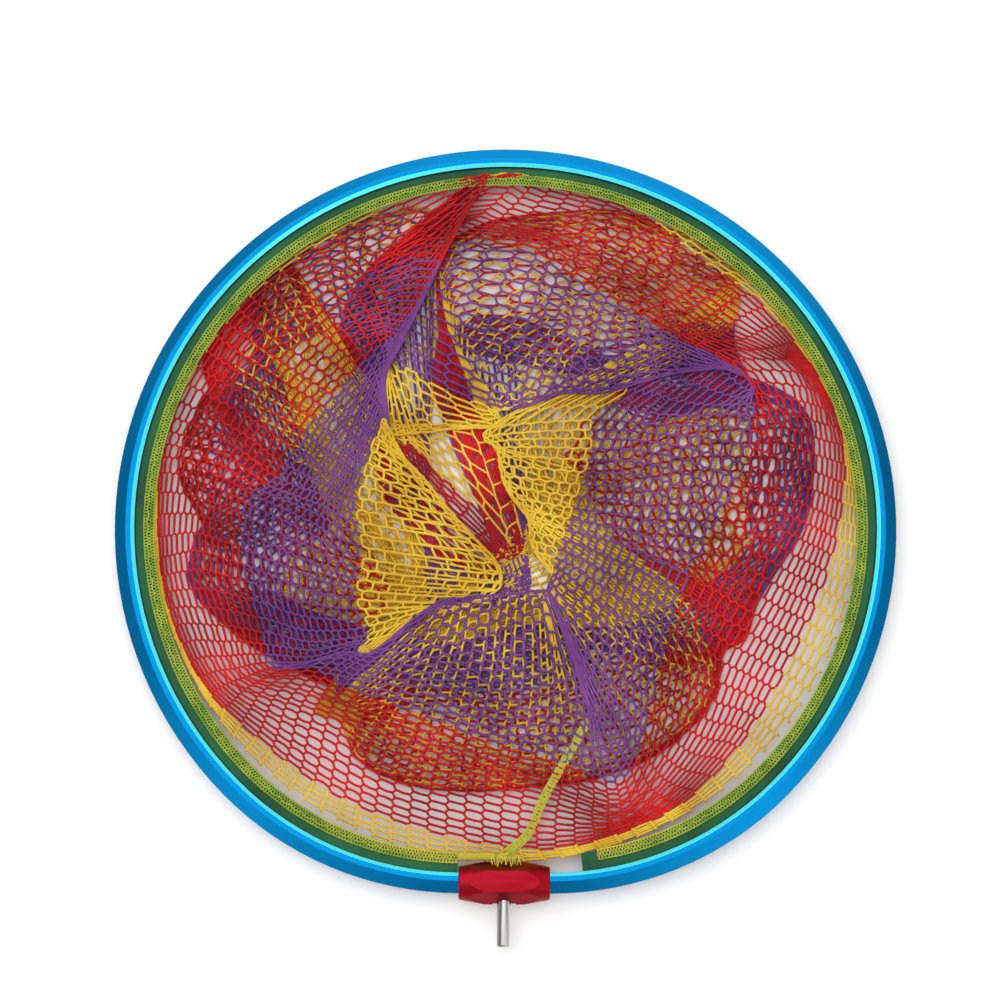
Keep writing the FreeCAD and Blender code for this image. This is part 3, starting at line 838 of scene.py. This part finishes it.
# How the folded sheet lies. Each column starts at the hoop, at an angle clockwise from the far
# side, and runs down the bag: depth in millimetres, then the pixel and height where it lies.
routes = {
    2: [(24, 518, 172, 1.6), (66, 482, 208, -4.4), (108, 440, 240, -5), (150, 410, 304, -5),
        (188, 412, 366, -5.4), (224, 430, 432, -6.6), (238, 440, 424, -7.8), (276, 478, 512, -8.4),
        (305, 462, 528, -8.8), (350, 450, 560, -9), (400, 492, 592, -9.2), (444, 450, 600, -9.4)],
    8: [(24, 545, 184, -3.4), (66, 512, 220, -4.4), (108, 478, 246, -4.6), (150, 445, 320, -4.6),
        (188, 436, 383, -5.4), (224, 466, 428, -6.6), (238, 476, 422, -7.8), (276, 524, 560, -8.4),
        (305, 510, 560, -8.8), (350, 496, 578, -9), (400, 530, 596, -9.2), (444, 480, 610, -9.4)],
    12: [(24, 568, 190, -3.4), (66, 540, 225, -4.6), (108, 512, 250, -4.6), (150, 482, 335, -4.6),
         (188, 466, 396, -5.4), (222, 494, 428, -6.8), (238, 490, 418, -7.8), (276, 520, 520, -8.2),
         (330, 494, 530, -8.8), (360, 500, 560, -9), (400, 530, 560, -9.2), (444, 520, 590, -9.4)],
    25: [(24, 640, 215, -3.4), (66, 600, 248, -4.6), (108, 570, 280, -4.6), (150, 545, 350, -4.4),
         (183, 530, 405, -5), (230, 470, 350, -7), (276, 432, 268, -7.6), (330, 436, 330, -8.2),
         (360, 430, 372, -8.6), (400, 460, 330, -9), (444, 520, 370, -9.3), (520, 560, 480, -9.5)],
    40: [(24, 700, 262, -3.4), (66, 660, 285, -4.6), (108, 625, 310, -4.4), (140, 612, 360, -4),
         (162, 606, 392, -4.6), (192, 592, 345, -7), (235, 588, 280, -7.3), (276, 585, 210, -7.6),
         (330, 560, 310, -8.4), (370, 560, 370, -8.8), (420, 590, 350, -9.1), (500, 580, 480, -9.5)],
    52: [(24, 755, 300, -3.4), (66, 710, 325, -4.6), (108, 668, 335, -4.2), (148, 688, 372, -4.6),
         (192, 672, 325, -7), (235, 665, 280, -7.3), (276, 665, 228, -7.6), (330, 650, 320, -8.4),
         (380, 660, 380, -8.9), (440, 640, 420, -9.3), (520, 560, 520, -9.5)],
    65: [(24, 815, 372, -3.2), (66, 790, 366, -4), (100, 740, 368, -3.6), (122, 752, 382, -4.6),
         (160, 735, 350, -7), (220, 735, 310, -7.4), (276, 738, 275, -7.8), (340, 730, 360, -8.6),
         (400, 745, 385, -9), (442, 715, 408, -9.3), (490, 650, 440, -9.4), (530, 590, 500, -9.5)],
    78: [(24, 842, 440, -3.4), (66, 805, 430, -4.8), (108, 752, 412, -5.2), (150, 680, 412, -5.6),
         (192, 603, 404, -5.8), (238, 505, 416, -6.2), (276, 580, 430, -7.8), (330, 700, 415, -8.2),
         (376, 800, 410, -8.6), (442, 745, 428, -9.2), (480, 690, 450, -9.4), (530, 620, 490, -9.5)],
    92: [(24, 838, 522, -3.4), (66, 800, 505, -4.8), (108, 735, 480, -5), (150, 660, 455, -5),
         (192, 588, 450, -5), (238, 498, 452, -5.2), (276, 590, 480, -7.6), (330, 710, 472, -8),
         (376, 808, 480, -8.6), (442, 745, 495, -9.2), (480, 690, 505, -9.4), (530, 620, 530, -9.5)],
    108: [(24, 812, 608, -3.4), (66, 765, 582, -4.8), (108, 700, 545, -4.8), (150, 635, 520, -4.6),
          (192, 570, 510, -4.4), (233, 515, 502, -4.6), (276, 620, 540, -7.4), (330, 730, 560, -7.9),
          (376, 785, 556, -8.6), (442, 735, 562, -9.2), (480, 680, 572, -9.4), (530, 600, 588, -9.5)],
    122: [(24, 776, 682, -3.4), (66, 725, 655, -4.6), (108, 668, 620, -4.6), (150, 610, 585, -4.4),
          (185, 565, 558, -4.2), (208, 532, 547, -4.8), (240, 600, 570, -6.8), (276, 690, 600, -7.4),
          (330, 745, 636, -8), (376, 715, 640, -8.8), (440, 630, 624, -9.3), (500, 560, 615, -9.5)],
    136: [(24, 736, 748, -3.4), (66, 695, 735, -4.4), (108, 650, 700, -4.2), (150, 595, 650, -4),
          (182, 548, 589, -4.6), (230, 630, 640, -7), (276, 715, 690, -7.6), (330, 660, 670, -8.8),
          (420, 540, 630, -9.3)],
    148: [(24, 682, 802, -3.4), (66, 655, 790, -4), (108, 635, 755, -3.6), (150, 600, 700, -3.6),
          (188, 550, 596, -4.8), (235, 610, 680, -7), (276, 660, 750, -7.8), (330, 620, 700, -8.8),
          (420, 520, 640, -9.3)],
    158: [(24, 632, 828, -3.2), (66, 622, 815, -3.4), (108, 615, 780, -3.2), (150, 590, 705, -3.2),
          (188, 548, 594, -4.6), (235, 575, 690, -7), (276, 600, 775, -7.8), (330, 570, 710, -8.8),
          (420, 500, 640, -9.3)],
    172: [(24, 547, 848, -3.2), (66, 550, 800, -4.4), (108, 560, 758, -4.4), (150, 572, 680, -4.2),
          (182, 546, 592, -4.4), (230, 545, 695, -7), (276, 535, 785, -7.6), (330, 520, 720, -8.8),
          (420, 480, 650, -9.3)],
    186: [(24, 467, 838, -3.2), (66, 470, 780, -4.6), (108, 490, 738, -4.6), (150, 512, 670, -4.4),
          (184, 510, 594, -4.4), (230, 500, 700, -7), (276, 475, 790, -7.6), (330, 480, 720, -8.8),
          (420, 460, 650, -9.3)],
    200: [(24, 386, 815, -3.2), (66, 395, 758, -4.6), (108, 422, 712, -4.6), (150, 452, 652, -4.2),
          (182, 470, 597, -4.2), (230, 445, 700, -7), (276, 415, 785, -7.6), (330, 430, 710, -8.8),
          (420, 435, 650, -9.3)],
    214: [(24, 318, 782, -3.2), (66, 330, 722, -4.6), (108, 348, 685, -4.4), (150, 390, 648, -4),
          (176, 422, 612, -4), (230, 390, 700, -7), (276, 355, 755, -7.6), (330, 380, 700, -8.8),
          (420, 410, 640, -9.3)],
    226: [(24, 264, 742, -3.2), (66, 280, 700, -4.4), (108, 315, 668, -4), (132, 345, 652, -3.8),
          (180, 340, 690, -7), (230, 325, 715, -7.6), (290, 350, 700, -8.6), (360, 380, 660, -9.1),
          (440, 410, 630, -9.3)],
    238: [(24, 207, 688, -3.4), (66, 235, 676, -4.8), (108, 272, 666, -5.6), (150, 322, 662, -6.2),
          (178, 356, 650, -6.2), (225, 330, 690, -7.8), (276, 360, 720, -8.4), (330, 400, 705, -8.9),
          (400, 415, 660, -9.3)],
    250: [(24, 174, 624, -3.4), (66, 214, 622, -5), (108, 264, 630, -5.4), (150, 314, 640, -5.6),
          (192, 372, 632, -5.4), (222, 424, 614, -5.6), (276, 340, 652, -7.6), (330, 240, 640, -8.2),
          (358, 214, 616, -8.6), (444, 290, 600, -9.2), (520, 370, 600, -9.5)],
    262: [(24, 160, 560, -3.4), (66, 196, 552, -5), (108, 246, 566, -5), (150, 302, 588, -5),
          (192, 360, 600, -4.8), (240, 478, 604, -5.4), (276, 380, 600, -7.6), (330, 250, 572, -8.2),
          (365, 196, 548, -8.6), (444, 290, 566, -9.1), (520, 370, 590, -9.5)],
    275: [(24, 160, 472, -3.4), (66, 205, 482, -4.8), (108, 248, 502, -4.8), (150, 305, 530, -4.6),
          (192, 366, 558, -4.4), (240, 500, 572, -5), (276, 360, 548, -7.6), (318, 250, 505, -8.2),
          (340, 182, 482, -8.6), (365, 222, 490, -8.8), (444, 330, 530, -9.2), (520, 370, 580, -9.5)],
    288: [(24, 174, 414, -3.4), (66, 230, 440, -4.6), (108, 280, 476, -4.4), (150, 322, 492, -4.2),
          (192, 360, 508, -4), (236, 458, 520, -4.6), (276, 280, 452, -7.4), (318, 222, 432, -8),
          (340, 188, 430, -8.4), (365, 225, 442, -8.8), (444, 320, 492, -9.2), (520, 370, 560, -9.5)],
    300: [(24, 208, 352, -3.4), (66, 262, 386, -4.4), (108, 316, 420, -4), (150, 345, 450, -3.8),
          (192, 368, 464, -3.6), (230, 422, 476, -4.4), (276, 228, 378, -7.2), (330, 215, 375, -7.8),
          (365, 230, 390, -8.2), (444, 290, 400, -9), (520, 370, 530, -9.5)],
    312: [(24, 250, 300, -3.4), (66, 300, 340, -4.2), (108, 350, 380, -3.6), (150, 372, 402, -3.4),
          (192, 384, 420, -3.2), (222, 394, 446, -4.2), (276, 252, 326, -7), (330, 250, 322, -7.6),
          (360, 280, 350, -8), (400, 262, 310, -8.4), (444, 252, 286, -8.8), (520, 350, 470, -9.5)],
    326: [(24, 322, 246, -3.4), (66, 360, 292, -4), (108, 383, 345, -3.2), (150, 384, 380, -3),
          (200, 383, 430, -4.2), (240, 335, 350, -6.8), (276, 300, 272, -7.2), (330, 330, 320, -7.8),
          (360, 345, 335, -8.2), (400, 335, 268, -8.6), (444, 338, 222, -8.8), (520, 400, 430, -9.5)],
    336: [(24, 385, 212, -3.2), (66, 404, 270, -3), (108, 400, 330, -2.4), (150, 386, 372, -2.8),
          (188, 380, 398, -3.6), (222, 382, 438, -6.2), (245, 386, 410, -7.6), (276, 392, 436, -8.2),
          (305, 384, 450, -8.6), (350, 372, 400, -9), (400, 374, 300, -9.1), (444, 396, 214, -9.1),
          (520, 400, 480, -9.5)],
    345: [(20, 440, 185, -0.6), (42, 492, 173, 3.0), (66, 476, 198, -0.4), (108, 440, 256, -1.4),
          (150, 408, 316, -1.8), (188, 388, 352, -3), (222, 392, 436, -6.4), (236, 396, 426, -7.6),
          (276, 412, 446, -8.2), (305, 400, 462, -8.6), (350, 382, 494, -8.9), (400, 400, 380, -9.1),
          (444, 440, 230, -9.2), (520, 420, 560, -9.5)],
    353: [(24, 480, 182, 0.2), (45, 454, 195, -4), (66, 414, 228, -5.2), (108, 362, 276, -5.6),
          (150, 344, 326, -5.8), (190, 384, 360, -6.4), (222, 412, 434, -7), (236, 416, 424, -7.8),
          (276, 440, 478, -8.4), (305, 428, 494, -8.6), (350, 412, 524, -9), (400, 440, 580, -9.2),
          (444, 420, 600, -9.4)],
}


# Where the bag's edge is sewn to the strip, at an angle clockwise from the far side
def mouthPixel(angle):
    middleX, middleY, halfX, halfY = bag["mouth"]
    turn = math.radians(angle)
    return middleX + halfX * math.sin(turn), middleY - halfY * math.cos(turn)


# Grid of bag points: two for each column of meshes, one row for each half mesh
def laySheet():
    depths = np.arange(bag["rows"] + 1) * bag["rowStep"]
    lines, angles = [], sorted(routes)
    for angle in angles:
        mouth = (0, *mouthPixel(angle), bag["mouthHeight"])
        stops = [mouth] + routes[angle] + [(depths[-1], *bag["end"])]
        table = np.array(stops, float)
        laid = hermite(table[:, 0], table[:, 1:], depths)
        lines.append(atPixel(laid[:, 0], laid[:, 1], np.clip(laid[:, 2], *bag["heights"])))
    around = np.array(angles[-3:], float) - 360
    at = np.concatenate([around, angles, np.array(angles[:3], float) + 360])
    values = np.array(lines[-3:] + lines + lines[:3])
    step = 360 / bag["columns"]
    shift = np.array([-bag["sideStep"], bag["sideStep"]])
    wanted = ((np.arange(bag["columns"])[:, None] + shift) * step).ravel()
    grid = hermite(at, values, wanted)
    return grid.reshape(bag["columns"], 2, bag["rows"] + 1, 3)


# Zigzag line of each column boundary: nodes step left and right in turn
def meshNodes():
    grid = laySheet()
    j, k = np.indices((bag["columns"], bag["rows"] + 1))
    side = ((j + k) % 2 == 0).astype(int)
    return grid[j, side, k]


# How overlong strands are pulled back, in rounds
relax = {
    "rounds": 40,
    "longest": 1.3,  # times a strand's own length
    "pull": 0.3,
    "home": 0.12,
}


# How far each end of an overlong gap moves in one round
def pullBack(gap, length):
    size = np.linalg.norm(gap, axis=2, keepdims=True) + tiny
    excess = np.clip(size - length * relax["longest"], 0, None)
    return gap * (excess / size) * relax["pull"]


# Pulls overlong strands back to their length, while the sheet keeps near its place
def settle(nodes):
    home, spot = nodes.copy(), nodes.copy()
    j, k = np.indices(nodes.shape[:2])
    rungs = (j + k) % 2 == 0
    for _ in range(relax["rounds"]):
        push = np.zeros_like(spot)
        pull = pullBack(spot[:, 1:] - spot[:, :-1], bag["shortStrand"])
        push[:, :-1] += pull
        push[:, 1:] -= pull
        pull = pullBack(np.roll(spot, -1, axis=0) - spot, bag["longStrand"]) * rungs[:, :, None]
        push += pull
        push -= np.roll(pull, 1, axis=0)
        spot += push + (home - spot) * relax["home"]
        spot[:, 0] = home[:, 0]
        spot[:, :, 2] = np.clip(spot[:, :, 2], *bag["heights"])
    flat = spot[:, :, :2] - np.array([0, rim["centreY"]])
    far = np.linalg.norm(flat, axis=2, keepdims=True)
    spot[:, :, :2] -= flat * (1 - np.clip(bag["reach"] / far, None, 1))
    return spot


# How a strand's spare length bows out between its nodes
sag = {
    # size, turn from one seed to the next
    "side": (0.9, 12.9898),
    "rise": (0.35, 4.1),
    "lift": 0.55,
    "upShare": 0.6,
    "heights": (-9.6, 5),
    # how far the seed moves on for each column, and for each row of a rung
    "shortSeed": 7.3,
    "longSeed": (3.7, 1.3),
}
# In each kind of band: share of the spare length that shows, the most of it as a share of the gap,
# points on a short and on a long strand, and widths of the points in turn
openLay = {"slack": 0.14, "most": 0.11, "points": (3, 5), "widths": (1.2, 0.95)}
gatheredLay = {"slack": 0.45, "most": math.inf, "points": (2, 3), "widths": (1.0, 1.0)}


# Points of a strand between two nodes: its spare length bows to one side
def slackBow(start, stop, length, seed, count, lay):
    t = np.linspace(0, 1, count)[:, None]
    gap = stop - start
    size = float(np.linalg.norm(gap)) + tiny
    spare = lay["slack"] * math.sqrt(max(length ** 2 - size ** 2, 0.0))
    spare = min(spare, lay["most"] * size)
    flat = np.array([-gap[1], gap[0], 0.0]) / size
    lean = sway(seed, *sag["side"])
    lift = sag["lift"] + sway(seed, *sag["rise"])
    bow = spare * (flat * lean + np.array([0, 0, lift * sag["upShare"]]))
    points = start + gap * t + bow * np.sin(math.pi * t)
    points[:, 2] = np.clip(points[:, 2], *sag["heights"])
    return points


# Strands of one band: a zigzag down each column, and rungs across to the next one
def bandStrands(spots, first, last, lay):
    shortPoints, longPoints = lay["points"]
    strands = []
    for j in range(bag["columns"]):
        line = spots[j, first:last + 1]
        points = [line[0]]
        for k in range(len(line) - 1):
            seed = j * sag["shortSeed"] + k + first
            points.extend(slackBow(line[k], line[k + 1], bag["shortStrand"], seed, shortPoints,
                                   lay)[1:])
        widths = np.where(np.arange(len(points)) % 2 == 0, *lay["widths"])
        strands.append((np.array(points), widths))
        # the sewn edge has no rungs
        for k in range(max(first, 1), last):
            if (j + k) % 2 == 0:
                other = spots[(j + 1) % bag["columns"], k]
                seed = j * sag["longSeed"][0] + k * sag["longSeed"][1]
                strands.append(slackBow(spots[j, k], other, bag["longStrand"], seed, longPoints,
                                        lay))
    return strands


# One sheet for each band, which rests on the one before it
def makeBag():
    spots = settle(meshNodes())
    for number, (name, slotName, nodeName) in enumerate(bag["bands"]):
        first, last = bag["bandEnds"][number:number + 2]
        lay = gatheredLay if last == bag["rows"] else openLay
        strands = bandStrands(spots, first, last, lay)
        piece = tubes(name, slotName, [nodeName], strands, bag["strand"])
        print(name, "made,", len(piece.data.polygons), "faces")


makeBag()


# Cord that draws the closed end of the bag together
gather = {
    "radius": 7.0,
    "wire": 0.6,
    "steps": 72,
    "waves": 9,
    "sway": 0.4,
    "lift": 0.6,
    "rise": 0.3,
}


def makeGatherCord():
    t = np.linspace(0, 2 * math.pi, gather["steps"] + 1)[:-1]
    middle = atPixel(*[np.array([float(v)]) for v in bag["end"]])[0]
    reach = gather["radius"] - gather["wire"] + gather["sway"] * np.sin(gather["waves"] * t)
    ring = np.column_stack([
        middle[0] + reach * np.cos(t),
        middle[1] + reach * np.sin(t),
        middle[2] + gather["lift"] + gather["rise"] * np.cos(gather["waves"] * t)])
    tubes("gatherCord", "lime_thread", ["bottom_gather_cord"], [ring], gather["wire"], closed=True)


makeGatherCord()
print("bag made")
